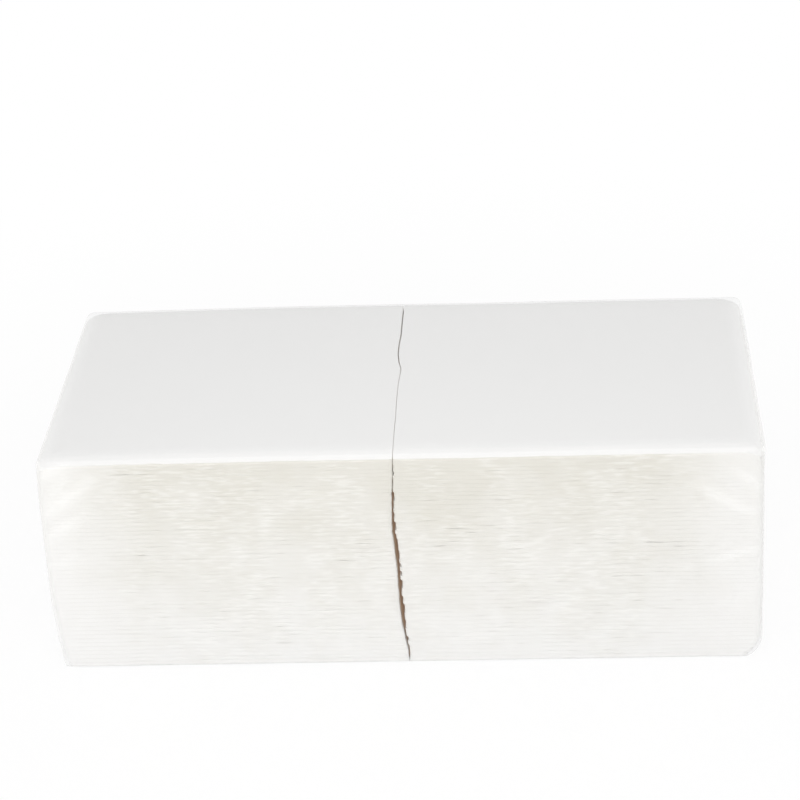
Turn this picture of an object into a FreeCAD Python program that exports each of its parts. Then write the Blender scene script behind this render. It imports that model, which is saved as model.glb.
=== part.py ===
import FreeCAD, Part
import os
import Sketcher

# A pack of paper napkins: two piles of quarter-folded square napkins, side by side,
# wrapped in one sheet of clear film.
# Millimetres. +X runs along the pack from the left pile to the right one, the front of the
# pack faces -Y and +Z is up. The origin is the middle of the underside.

DRIVING_SIZES = [
    ("sheet_side", 240.0, "side of one open napkin"),
    ("napkin_thickness", 1.58, "one napkin folded in four, as pressed in the pile"),
    ("nose_depth", 0.45, "how far back the rounding of the closed fold reaches"),
    ("groove_depth", 0.35, "how deep the groove between the two noses of the first fold is"),
    ("groove_width", 0.4, "how wide that groove opens"),
    ("napkin_count", 50, "napkins in each pile"),
    ("layer_clearance", 0.06, "air between two napkins, and between a pile and the film"),
    ("seam_offset", 1.4, "how far left of the middle the piles meet at the top"),
    ("seam_gap", 0.2, "air between the two top napkins"),
    ("pile_lean", 2.0, "how far the foot of a pile stands to the right of its top"),
    ("foot_gap", 0.5, "how much wider the air between the piles is at the foot"),
    ("seam_bow", 1.6, "how far the left pile is pressed away from the seam at mid height"),
    ("edge_scatter", 0.2, "how far a napkin may lie out of line with its pile"),
    ("film_thickness", 0.1, "the film"),
    ("film_corner", 2.0, "outer radius where the film turns round the pack"),
    ("film_clearance", 0.1, "air between the film and the nearest napkin edge"),
    ("end_clearance", 0.3, "air between the film and the pile at each end"),
    ("lap_width", 10.0, "width of a welded lap of the film"),
]

# Step of the angle, in degrees, that scatters one napkin after another. The golden angle
# never comes back to the same place.
SCATTER_STEP = 137.5
RIGHT_PILE_PHASE = 40.0

# Lengths that follow from the driving sizes, in the sheet's own words.
NAPKIN_SIDE = "(Sizes.sheet_side / 2)"
LAYER_PITCH = "(Sizes.napkin_thickness + Sizes.layer_clearance)"
# The arc that starts nose_depth back at both faces and just reaches the front.
NOSE_RADIUS = (
    "(Sizes.nose_depth / 2"
    " + Sizes.napkin_thickness * Sizes.napkin_thickness / (8 * Sizes.nose_depth))"
)
INSIDE_CORNER = "(Sizes.film_corner - Sizes.film_thickness)"
# A square napkin edge just under a rounded film edge has to stand this far back.
CORNER_RELIEF = (
    f"({INSIDE_CORNER} - sqrt({INSIDE_CORNER} * {INSIDE_CORNER}"
    f" - ({INSIDE_CORNER} - Sizes.layer_clearance) * ({INSIDE_CORNER} - Sizes.layer_clearance)))"
)
INSIDE_HEIGHT = f"(Sizes.napkin_count * {LAYER_PITCH} + Sizes.layer_clearance)"
INSIDE_HALF_DEPTH = (
    f"({NAPKIN_SIDE} / 2 + Sizes.edge_scatter + {CORNER_RELIEF} + Sizes.film_clearance)"
)
LEFT_REACH = f"(Sizes.seam_offset + max(Sizes.seam_bow; {CORNER_RELIEF}))"
RIGHT_REACH = (
    "(Sizes.seam_gap + Sizes.pile_lean + Sizes.foot_gap - Sizes.seam_offset"
    f" + {CORNER_RELIEF})"
)
INSIDE_HALF_LENGTH = (
    f"({NAPKIN_SIDE} + max({LEFT_REACH}; {RIGHT_REACH}) + Sizes.edge_scatter"
    " + Sizes.end_clearance)"
)
HEIGHT = f"({INSIDE_HEIGHT} + 2 * Sizes.film_thickness)"
HALF_DEPTH = f"({INSIDE_HALF_DEPTH} + Sizes.film_thickness)"
HALF_LENGTH = f"({INSIDE_HALF_LENGTH} + Sizes.film_thickness)"


def make_sizes(doc):
    """The sheet of driving sizes: name, value and meaning in one row each."""
    sheet = doc.addObject("Spreadsheet::Sheet", "Sizes")
    for row, (alias, value, meaning) in enumerate(DRIVING_SIZES, start=1):
        sheet.set(f"A{row}", alias)
        sheet.set(f"B{row}", str(value))
        sheet.set(f"C{row}", meaning)
        sheet.setAlias(f"B{row}", alias)
    doc.recompute()
    return sheet


def origin_plane(body, role):
    """One of the three origin planes of a body, by its role."""
    return next(item for item in body.Origin.OriginFeatures if item.Role == role)


def add_sketch(body, name, role, offset=None):
    """A sketch on an origin plane of the body, moved along the plane's normal by offset."""
    sketch = body.newObject("Sketcher::SketchObject", name)
    sketch.AttachmentSupport = (origin_plane(body, role), [""])
    sketch.MapMode = "FlatFace"
    if offset:
        sketch.setExpression("AttachmentOffset.Base.z", offset)
    return sketch


def add_outline(sheet, sketch, corners):
    """A closed outline of straight edges whose corners are bound to pairs of expressions."""
    points = []
    for across, up in corners:
        values = (float(sheet.evalExpression(across)), float(sheet.evalExpression(up)))
        points.append(FreeCAD.Vector(values[0], values[1], 0))
    count = len(points)
    for index in range(count):
        sketch.addGeometry(Part.LineSegment(points[index], points[(index + 1) % count]))
    for index in range(count):
        sketch.addConstraint(Sketcher.Constraint("Coincident", index, 2, (index + 1) % count, 1))
    for index, (across, up) in enumerate(corners):
        for kind, expression, value in (
            ("DistanceX", across, points[index].x),
            ("DistanceY", up, points[index].y),
        ):
            number = sketch.addConstraint(Sketcher.Constraint(kind, index, 1, value))
            sketch.setExpression(f"Constraints[{number}]", expression)


def add_pad(body, name, sketch, length, reverse=False):
    """The sketch's outline raised by length."""
    pad = body.newObject("PartDesign::Pad", name)
    pad.Profile = sketch
    pad.Reversed = reverse
    pad.setExpression("Length", length)
    sketch.Visibility = False
    return pad


def add_fold_groove(sheet, body):
    """The first fold makes two noses, one on the other, along the left side: a groove parts them."""
    middle = "Sizes.napkin_thickness / 2"
    sketch = add_sketch(body, "groove_section", "XZ_Plane")
    corners = [
        (f"-{NAPKIN_SIDE} / 2", f"{middle} - Sizes.groove_width / 2"),
        (f"Sizes.groove_depth - {NAPKIN_SIDE} / 2", middle),
        (f"-{NAPKIN_SIDE} / 2", f"{middle} + Sizes.groove_width / 2"),
    ]
    add_outline(sheet, sketch, corners)
    groove = body.newObject("PartDesign::Pocket", "fold_groove")
    groove.Profile = sketch
    groove.SideType = "Symmetric"
    groove.setExpression("Length", f"2 * {NAPKIN_SIDE}")
    body.Tip = groove
    return groove


def make_napkin(doc, sheet):
    """One napkin folded in four: a flat square whose last fold is a round nose at the front."""
    body = doc.addObject("PartDesign::Body", "napkin")
    sketch = add_sketch(body, "fold_section", "YZ_Plane", f"-{NAPKIN_SIDE} / 2")
    half_side = float(sheet.evalExpression(f"{NAPKIN_SIDE} / 2"))
    thickness = float(sheet.evalExpression("Sizes.napkin_thickness"))
    nose_start = float(sheet.evalExpression("Sizes.nose_depth")) - half_side
    low_front = FreeCAD.Vector(nose_start, 0, 0)
    low_back = FreeCAD.Vector(half_side, 0, 0)
    high_back = FreeCAD.Vector(half_side, thickness, 0)
    high_front = FreeCAD.Vector(nose_start, thickness, 0)
    front = FreeCAD.Vector(-half_side, thickness / 2, 0)
    sketch.addGeometry(Part.LineSegment(low_front, low_back))
    sketch.addGeometry(Part.LineSegment(low_back, high_back))
    sketch.addGeometry(Part.LineSegment(high_back, high_front))
    sketch.addGeometry(Part.Arc(high_front, front, low_front))
    for edge in range(4):
        sketch.addConstraint(Sketcher.Constraint("Coincident", edge, 2, (edge + 1) % 4, 1))
    sketch.addConstraint(Sketcher.Constraint("Horizontal", 0))
    sketch.addConstraint(Sketcher.Constraint("Vertical", 1))
    sketch.addConstraint(Sketcher.Constraint("Horizontal", 2))
    sketch.addConstraint(Sketcher.Constraint("PointOnObject", 0, 2, -1))
    for kind, edge, point, expression in (
        ("DistanceX", 0, 2, f"{NAPKIN_SIDE} / 2"),
        ("DistanceY", 1, 2, "Sizes.napkin_thickness"),
        ("DistanceX", 0, 1, f"Sizes.nose_depth - {NAPKIN_SIDE} / 2"),
        ("DistanceX", 2, 2, f"Sizes.nose_depth - {NAPKIN_SIDE} / 2"),
        ("DistanceX", 3, 3, f"{NOSE_RADIUS} - {NAPKIN_SIDE} / 2"),
    ):
        value = float(sheet.evalExpression(expression))
        number = sketch.addConstraint(Sketcher.Constraint(kind, edge, point, value))
        sketch.setExpression(f"Constraints[{number}]", expression)
    add_pad(body, "folded_sheet", sketch, NAPKIN_SIDE)
    add_fold_groove(sheet, body)
    return body


def scatter(index, phase):
    """A share from -1 to 1 that puts each napkin slightly out of line, as an expression."""
    return f"sin({SCATTER_STEP * index + phase})"


def left_place(index, share):
    """Across: the left pile meets the seam with its right side and bows away from it."""
    scattered = f"Sizes.edge_scatter * (1 + {scatter(index, 0)}) / 2"
    return (
        f"-{NAPKIN_SIDE} / 2 - Sizes.seam_offset + Sizes.pile_lean * (1 - {share})"
        f" - Sizes.seam_bow * sin(180 * {share}) - {scattered}"
    )


def right_place(index, share):
    """Across: the right pile stands clear of the seam with its left side."""
    scattered = f"Sizes.edge_scatter * (1 + {scatter(index, RIGHT_PILE_PHASE)}) / 2"
    return (
        f"{NAPKIN_SIDE} / 2 - Sizes.seam_offset + Sizes.seam_gap"
        f" + (Sizes.pile_lean + Sizes.foot_gap) * (1 - {share}) + {scattered}"
    )


def make_pile(doc, sheet, napkin, label, place_across, phase):
    """One pile: every napkin is a solid of its own, laid one on another from the film up."""
    count = int(round(float(sheet.evalExpression("Sizes.napkin_count"))))
    laid = []
    for index in range(count):
        share = index / max(count - 1, 1)
        copy = doc.addObject("App::Link", f"{label}_napkin_{index + 1}")
        copy.LinkedObject = napkin
        copy.setExpression("Placement.Base.x", place_across(index, f"{share:.6f}"))
        copy.setExpression("Placement.Base.y", f"Sizes.edge_scatter * {scatter(index, phase)}")
        copy.setExpression(
            "Placement.Base.z",
            f"Sizes.film_thickness + Sizes.layer_clearance + {index} * {LAYER_PITCH}",
        )
        laid.append(copy)
    pile = doc.addObject("Part::Compound", label)
    pile.Label = label
    pile.Links = laid
    return pile


def rounded_block(doc, sheet, name, half_length, half_depth, height, corner, lift):
    """A block with every edge rounded, standing lift above the underside of the pack."""
    body = doc.addObject("PartDesign::Body", name)
    sketch = add_sketch(body, f"{name}_plan", "XY_Plane", lift)
    corners = [
        (f"-{half_length}", f"-{half_depth}"),
        (half_length, f"-{half_depth}"),
        (half_length, half_depth),
        (f"-{half_length}", half_depth),
    ]
    add_outline(sheet, sketch, corners)
    pad = add_pad(body, f"{name}_block", sketch, height)
    doc.recompute()
    rounding = body.newObject("PartDesign::Fillet", f"{name}_rounding")
    rounding.Base = (pad, [""])
    rounding.UseAllEdges = True
    rounding.setExpression("Radius", corner)
    body.Tip = rounding
    doc.recompute()
    return body


def add_end_folds(sheet, body):
    """The film's ends, folded like a parcel: a flap from above and one from below, lapped and
    welded at mid height. The slanted edges run at 45 degrees unless the flap gets too narrow."""
    foot = "Sizes.film_corner"
    top = f"({HEIGHT} - Sizes.film_corner)"
    half_width = f"({HALF_DEPTH} - Sizes.film_corner)"
    lap_low = f"({HEIGHT} / 2 - Sizes.lap_width / 2)"
    lap_high = f"({HEIGHT} / 2 + Sizes.lap_width / 2)"
    flap_length = f"({lap_high} - {foot})"
    narrow = f"({half_width} - min({flap_length}; {half_width} - Sizes.lap_width))"
    lap_inset = f"({flap_length} - Sizes.lap_width)"
    lap_half_width = f"({half_width} - min({lap_inset}; {half_width} - Sizes.lap_width))"
    layers = (
        ("upper_flap", "Sizes.film_thickness", [
            (f"-{half_width}", top), (f"-{narrow}", lap_low), (narrow, lap_low), (half_width, top),
        ]),
        ("lower_flap", "Sizes.film_thickness", [
            (f"-{half_width}", foot), (half_width, foot), (narrow, lap_high), (f"-{narrow}", lap_high),
        ]),
        ("end_weld", "2 * Sizes.film_thickness", [
            (f"-{lap_half_width}", lap_low), (lap_half_width, lap_low),
            (narrow, lap_high), (f"-{narrow}", lap_high),
        ]),
    )
    pads = []
    for name, thickness, corners in layers:
        sketch = add_sketch(body, f"{name}_outline", "YZ_Plane", HALF_LENGTH)
        add_outline(sheet, sketch, corners)
        pads.append(add_pad(body, name, sketch, thickness))
    return pads


def add_other_end(doc, body, pads):
    """The left end is folded as the right end is."""
    body.Tip = pads[-1]
    doc.recompute()
    other = body.newObject("PartDesign::Mirrored", "left_end_folds")
    other.Originals = pads
    other.MirrorPlane = (origin_plane(body, "YZ_Plane"), [""])
    body.Tip = other
    doc.recompute()
    return other


def add_long_weld(sheet, body):
    """The long weld that closes the film round the piles lies flat along the back."""
    half_run = f"({HALF_LENGTH} - Sizes.film_corner)"
    low = f"({HEIGHT} / 2 - Sizes.lap_width / 2)"
    high = f"({HEIGHT} / 2 + Sizes.lap_width / 2)"
    sketch = add_sketch(body, "long_weld_outline", "XZ_Plane", f"-{HALF_DEPTH}")
    corners = [(f"-{half_run}", low), (half_run, low), (half_run, high), (f"-{half_run}", high)]
    add_outline(sheet, sketch, corners)
    weld = add_pad(body, "long_weld", sketch, "Sizes.film_thickness", reverse=True)
    body.Tip = weld
    return weld


def make_film(doc, sheet):
    """The clear film: one thin closed skin with its end folds and its long weld."""
    outside = rounded_block(
        doc, sheet, "film_outside", HALF_LENGTH, HALF_DEPTH, HEIGHT, "Sizes.film_corner", None
    )
    add_other_end(doc, outside, add_end_folds(sheet, outside))
    add_long_weld(sheet, outside)
    inside = rounded_block(
        doc, sheet, "film_inside", INSIDE_HALF_LENGTH, INSIDE_HALF_DEPTH, INSIDE_HEIGHT,
        INSIDE_CORNER, "Sizes.film_thickness",
    )
    film = doc.addObject("Part::Cut", "film_wrap")
    film.Label = "film_wrap"
    film.Base = outside
    film.Tool = inside
    return film


def check_document(doc, pieces):
    """Stop if an object of the document failed or a piece isn't a sound solid."""
    failed = [item.Name for item in doc.Objects if {"Invalid", "Error"} & set(item.State)]
    if failed:
        raise RuntimeError(f"these objects failed: {', '.join(failed)}")
    for piece, solids in pieces:
        shape = piece.Shape
        if shape.isNull() or not shape.isValid():
            raise RuntimeError(f"{piece.Label} has no valid shape")
        if len(shape.Solids) != solids:
            raise RuntimeError(f"{piece.Label} has {len(shape.Solids)} solids, not {solids}")


def main():
    doc = FreeCAD.newDocument("napkin_pack")
    sheet = make_sizes(doc)
    napkin = make_napkin(doc, sheet)
    doc.recompute()
    left = make_pile(doc, sheet, napkin, "left_pile", left_place, 0)
    right = make_pile(doc, sheet, napkin, "right_pile", right_place, RIGHT_PILE_PHASE)
    film = make_film(doc, sheet)
    doc.recompute()
    count = int(round(float(sheet.evalExpression("Sizes.napkin_count"))))
    pieces = [(left, count), (right, count), (film, 1)]
    check_document(doc, pieces)
    os.makedirs("parts", exist_ok=True)
    for piece, _ in pieces:
        piece.Shape.exportStep(f"parts/{piece.Label}.step")
        box = piece.Shape.BoundBox
        print(piece.Label, len(piece.Shape.Solids), "solids", f"volume {piece.Shape.Volume:.0f}")
        print(f"  x {box.XMin:.2f} {box.XMax:.2f}  y {box.YMin:.2f} {box.YMax:.2f}"
              f"  z {box.ZMin:.2f} {box.ZMax:.2f}")


main()
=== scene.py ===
"""The looks of a pack of paper napkins: two piles of quarter-folded napkins in clear film.

Sizes in this file are millimetres, and Mesher turns them into Blender's metres; only the table
and the lamps are sized in metres. The pack lies along X, its closed folds face -Y and Z points up.
"""

import logging
import math
from dataclasses import dataclass, field
from enum import Enum
from typing import Any, Callable, Optional, Sequence, Union

import bpy
import numpy as np
from mathutils import Matrix, Vector


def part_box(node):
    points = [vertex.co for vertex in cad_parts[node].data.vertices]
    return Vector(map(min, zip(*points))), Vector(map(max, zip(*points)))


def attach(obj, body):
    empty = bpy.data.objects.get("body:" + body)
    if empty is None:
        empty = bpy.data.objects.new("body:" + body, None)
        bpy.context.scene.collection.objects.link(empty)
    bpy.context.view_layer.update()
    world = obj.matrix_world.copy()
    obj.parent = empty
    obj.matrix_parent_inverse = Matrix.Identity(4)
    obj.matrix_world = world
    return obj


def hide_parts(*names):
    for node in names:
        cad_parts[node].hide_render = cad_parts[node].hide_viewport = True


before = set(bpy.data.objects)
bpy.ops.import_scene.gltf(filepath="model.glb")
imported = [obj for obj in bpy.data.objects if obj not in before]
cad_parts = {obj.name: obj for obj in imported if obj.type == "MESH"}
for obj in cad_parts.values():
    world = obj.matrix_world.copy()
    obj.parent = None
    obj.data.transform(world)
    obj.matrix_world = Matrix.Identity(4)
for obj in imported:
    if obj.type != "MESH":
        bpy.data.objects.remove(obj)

log = logging.getLogger("napkin_pack")

MM = 0.001
MILK = "milk"
WHITE = (1.0, 1.0, 1.0, 1.0)
BLACK = (0.0, 0.0, 0.0, 1.0)

Array = np.ndarray
Range = tuple[float, float]
Triple = tuple[float, float, float]
Colour = tuple[float, float, float]


def smooth_step(value: Union[Array, float], low: float, high: float) -> Array:
    """Rises smoothly from 0 at low to 1 at high."""
    share = np.clip((np.asarray(value, dtype=float) - low) / (high - low), 0.0, 1.0)
    return share * share * (3.0 - 2.0 * share)


@dataclass(frozen=True)
class Ripple:
    """Smooth noise that is the same on every run.

    Args:
        seed: Picks the pattern.
    """

    seed: int

    PRIMES = (0x9E3779B97F4A7C15, 0xC2B2AE3D27D4EB4F, 0x165667B19E3779F9)
    MIXER = 0xFF51AFD7ED558CCD
    MASK = 0xFFFFFFFFFFFFFFFF
    FINER = 2.3
    FINER_SHIFT = 11.7
    FINER_SHARE = 0.5

    def _corner(self, cells: Sequence[Array]) -> Array:
        """A fixed random number from -1 to 1 for each whole-numbered cell."""
        mixed = np.full(cells[0].shape, (self.seed * self.MIXER) & self.MASK, dtype=np.uint64)
        for cell, prime in zip(cells, self.PRIMES):
            mixed = (mixed ^ (cell.astype(np.int64).astype(np.uint64) * np.uint64(prime)))
            mixed = mixed * np.uint64(self.MIXER)
            mixed = mixed ^ (mixed >> np.uint64(31))
        return (mixed >> np.uint64(12)).astype(np.float64) / 2.0**51 - 1.0

    def at(self, *coordinates: Union[Array, float]) -> Array:
        """The noise at some points.

        Args:
            coordinates: Up to three coordinates, in cells.

        Returns:
            Values from -1 to 1.
        """
        places = np.broadcast_arrays(*[np.asarray(c, dtype=float) for c in coordinates])
        floors = [np.floor(p) for p in places]
        shares = [(p - f) ** 2 * (3.0 - 2.0 * (p - f)) for p, f in zip(places, floors)]
        total = np.zeros(places[0].shape)
        for corner in range(2 ** len(places)):
            weight = np.ones(places[0].shape)
            cells = []
            for axis, (floor, share) in enumerate(zip(floors, shares)):
                upper = (corner >> axis) & 1
                weight = weight * (share if upper else 1.0 - share)
                cells.append(floor + upper)
            total = total + weight * self._corner(cells)
        return total

    def fine(self, *coordinates: Union[Array, float]) -> Array:
        """The noise with a second, finer layer on it."""
        finer = [np.asarray(c, dtype=float) * self.FINER + self.FINER_SHIFT for c in coordinates]
        layered = self.at(*coordinates) + self.FINER_SHARE * self.at(*finer)
        return layered / (1.0 + self.FINER_SHARE)


@dataclass(frozen=True)
class Waves:
    """Soft unevenness of the paper or the film.

    Args:
        pattern: Which of its piece's noise patterns it follows.
        lengths: How long a wave is along each coordinate.
        height: How far it reaches.
        change: How many cells the pattern moves on from one row to the next.
        layered: Whether finer waves lie on the coarse ones.
    """

    pattern: int
    lengths: tuple[float, ...]
    height: float
    change: float = 0.0
    layered: bool = True

    def rise(self, seed: int, *places: Array, row: Union[Array, float, None] = None) -> Array:
        """How far it reaches at some places.

        Args:
            seed: The seed of the piece.
            places: One coordinate for each length.
            row: The layer or side, where the pattern changes with it.

        Returns:
            Distances from -height to height.
        """
        cells = [place / length for place, length in zip(places, self.lengths)]
        if row is not None:
            cells.append(row * self.change)
        ripple = Ripple(seed + self.pattern)
        return (ripple.fine(*cells) if self.layered else ripple.at(*cells)) * self.height


@dataclass
class Mesher:
    """Gathers vertices and faces, in millimetres, and makes one Blender object of them."""

    name: str
    points: list[Array] = field(default_factory=list)
    milks: list[Array] = field(default_factory=list)
    faces: list[tuple[int, ...]] = field(default_factory=list)
    count: int = 0

    def add_points(self, points: Array, milk: Union[Array, float] = 0.0) -> int:
        """Adds points.

        Args:
            points: Places in millimetres.
            milk: How milky the film is there, for the film's finish, which also sets its painted glints
                there.

        Returns:
            The index of the first of them.
        """
        start = self.count
        self.points.append(np.asarray(points, dtype=float).reshape(-1, 3))
        added = len(self.points[-1])
        self.milks.append(np.broadcast_to(np.asarray(milk, dtype=float).reshape(-1), (added,)))
        self.count += added
        return start

    def add_faces(self, faces: Array, start: int = 0) -> None:
        """Adds faces whose indices count from start."""
        self.faces.extend(map(tuple, (np.asarray(faces) + start).tolist()))

    def add_band(self, low: int, high: int, columns: int) -> None:
        """Adds the faces between two rings of points, given by the index that each starts at."""
        column = np.arange(columns)
        after = (column + 1) % columns
        self.add_faces(np.stack([low + column, low + after, high + after, high + column], axis=1))

    def add_disc(self, start: int, columns: int, downwards: bool = False) -> None:
        """Adds one flat face over a ring of points."""
        ring = range(start, start + columns)
        self.faces.append(tuple(reversed(ring)) if downwards else tuple(ring))

    def make(self, finish: bpy.types.Material, nodes: Sequence[str]) -> bpy.types.Object:
        """Makes the object and hangs it on the CAD frame; only its four-sided faces are smooth.

        Args:
            finish: The material of the whole piece.
            nodes: The CAD nodes that this piece stands for.

        Returns:
            The new Blender object.
        """
        mesh = bpy.data.meshes.new(self.name)
        mesh.from_pydata((np.vstack(self.points) * MM).tolist(), [], self.faces)
        mesh.validate()
        smooth = np.array([len(polygon.vertices) == 4 for polygon in mesh.polygons])
        mesh.polygons.foreach_set("use_smooth", smooth)
        mesh.materials.append(finish)
        milk = np.concatenate(self.milks)
        if milk.any():
            mesh.attributes.new(MILK, "FLOAT", "POINT").data.foreach_set("value", milk)
        mesh.update()
        piece = bpy.data.objects.new(self.name, mesh)
        bpy.context.scene.collection.objects.link(piece)
        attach(piece, "root")
        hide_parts(*nodes)
        triangles = sum(len(face) - 2 for face in self.faces)
        log.info("%s: %d points, %d triangles", self.name, self.count, triangles)
        return piece


Link = Union["Field", float, Sequence[float]]


def operator(operation: str, swapped: bool = False) -> Callable[["Field", Link], "Field"]:
    """Makes a Field's method that adds one Math node.

    Args:
        operation: What the node works out.
        swapped: Whether the field is its second input.

    Returns:
        The method.
    """

    def apply(first: "Field", second: Link) -> "Field":
        """Adds the node."""
        inputs = {0: second, 1: first} if swapped else {0: first, 1: second}
        return first.shader.node("ShaderNodeMath", {"operation": operation}, inputs)

    return apply


class Field:
    """A value that changes over a surface: a node's output whose maths is written as Python."""

    def __init__(self, shader: "Shader", socket: bpy.types.NodeSocket) -> None:
        """Wraps one output socket of the shader's tree."""
        self.shader = shader
        self.socket = socket

    __add__ = operator("ADD")
    __radd__ = operator("ADD", swapped=True)
    __rsub__ = operator("SUBTRACT", swapped=True)
    __mul__ = operator("MULTIPLY")
    __rmul__ = operator("MULTIPLY", swapped=True)
    __pow__ = operator("POWER")
    larger = operator("MAXIMUM")

    def __abs__(self) -> "Field":
        """The size of self without its sign."""
        return self.shader.node("ShaderNodeMath", {"operation": "ABSOLUTE"}, {0: self})

    def between(self, low: float, high: float) -> "Field":
        """0 at low and 1 at high, with a smooth rise and nothing outside."""
        settings = {"interpolation_type": "SMOOTHSTEP"}
        inputs = {"Value": self, "From Min": low, "From Max": high}
        return self.shader.node("ShaderNodeMapRange", settings, inputs)

    def within(self, reach: Range) -> "Field":
        """0 at the first and 1 at the second of two lengths in millimetres, as between does."""
        return self.between(reach[0] * MM, reach[1] * MM)


def new_material(name: str) -> bpy.types.Material:
    """A new material, whose faint glow isn't sampled as a lamp."""
    material = bpy.data.materials.new(name)
    material.cycles.emission_sampling = "NONE"
    return material


class Shader:
    """The node tree of one material or of the world."""

    NOISE_ROUGHNESS = 0.55

    def __init__(self, owner: Union[bpy.types.Material, bpy.types.World]) -> None:
        """Empties the owner's tree.

        Args:
            owner: The material or the world.
        """
        owner.use_nodes = True
        self.tree = owner.node_tree
        self.tree.nodes.clear()

    def node(
        self,
        kind: str,
        settings: Optional[dict[str, Any]] = None,
        inputs: Optional[dict[Union[str, int], Link]] = None,
        output: Union[str, int] = 0,
    ) -> Field:
        """Adds one node.

        Args:
            kind: The node's Blender type.
            settings: Its properties, set before its sockets.
            inputs: What its sockets hold, by name, identifier or number.
            output: The output to hand back, by name or number.

        Returns:
            The chosen output.
        """
        made = self.tree.nodes.new(kind)
        for key, value in (settings or {}).items():
            setattr(made, key, value)
        for key, value in (inputs or {}).items():
            socket = self._socket(made, key)
            if isinstance(value, Field):
                self.tree.links.new(value.socket, socket)
            else:
                socket.default_value = value
        return Field(self, made.outputs[output])

    @staticmethod
    def _socket(made: bpy.types.Node, key: Union[str, int]) -> bpy.types.NodeSocket:
        """The input socket with this number, identifier or name."""
        if isinstance(key, int):
            return made.inputs[key]
        for socket in made.inputs:
            if socket.identifier == key:
                return socket
        return made.inputs[key]

    def place(self) -> Field:
        """The point on the piece, in metres."""
        return self.node("ShaderNodeTexCoord", output="Object")

    def axis(self, vector: Field, name: str) -> Field:
        """One coordinate of a vector."""
        return self.node("ShaderNodeSeparateXYZ", inputs={"Vector": vector}, output=name)

    def stretched(self, vector: Field, scale: Sequence[float]) -> Field:
        """A vector scaled by its own factor along each axis."""
        return self.node(
            "ShaderNodeVectorMath", {"operation": "MULTIPLY"}, {0: vector, 1: scale}
        )

    def noise(self, vector: Field, scale: float, detail: float = 2.0) -> Field:
        """Cloudy noise from 0 to 1."""
        inputs = {"Vector": vector, "Scale": scale, "Detail": detail}
        inputs["Roughness"] = self.NOISE_ROUGHNESS
        return self.node("ShaderNodeTexNoise", inputs=inputs)

    def tint(self, share: Link, first: Link, second: Link) -> Field:
        """A colour between two colours."""
        inputs = {"Factor_Float": share, "A_Color": first, "B_Color": second}
        return self.node("ShaderNodeMix", {"data_type": "RGBA"}, inputs, output=2)

    def relief(self, height: Field, depth: float) -> Field:
        """A normal that shows a height of up to depth millimetres."""
        inputs = {"Height": height, "Distance": depth * MM, "Strength": 1.0}
        return self.node("ShaderNodeBump", inputs=inputs)

    def mixed(self, share: Link, first: Field, second: Field) -> Field:
        """A surface between two surfaces."""
        return self.node("ShaderNodeMixShader", inputs={0: share, 1: first, 2: second})

    def finish(self, surface: Field, kind: str = "ShaderNodeOutputMaterial") -> None:
        """Links the surface to an output of this kind."""
        output = self.tree.nodes.new(kind)
        self.tree.links.new(surface.socket, output.inputs["Surface"])


def solid(colour: Colour) -> tuple[float, float, float, float]:
    """A colour with full opacity."""
    return (*colour, 1.0)


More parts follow.
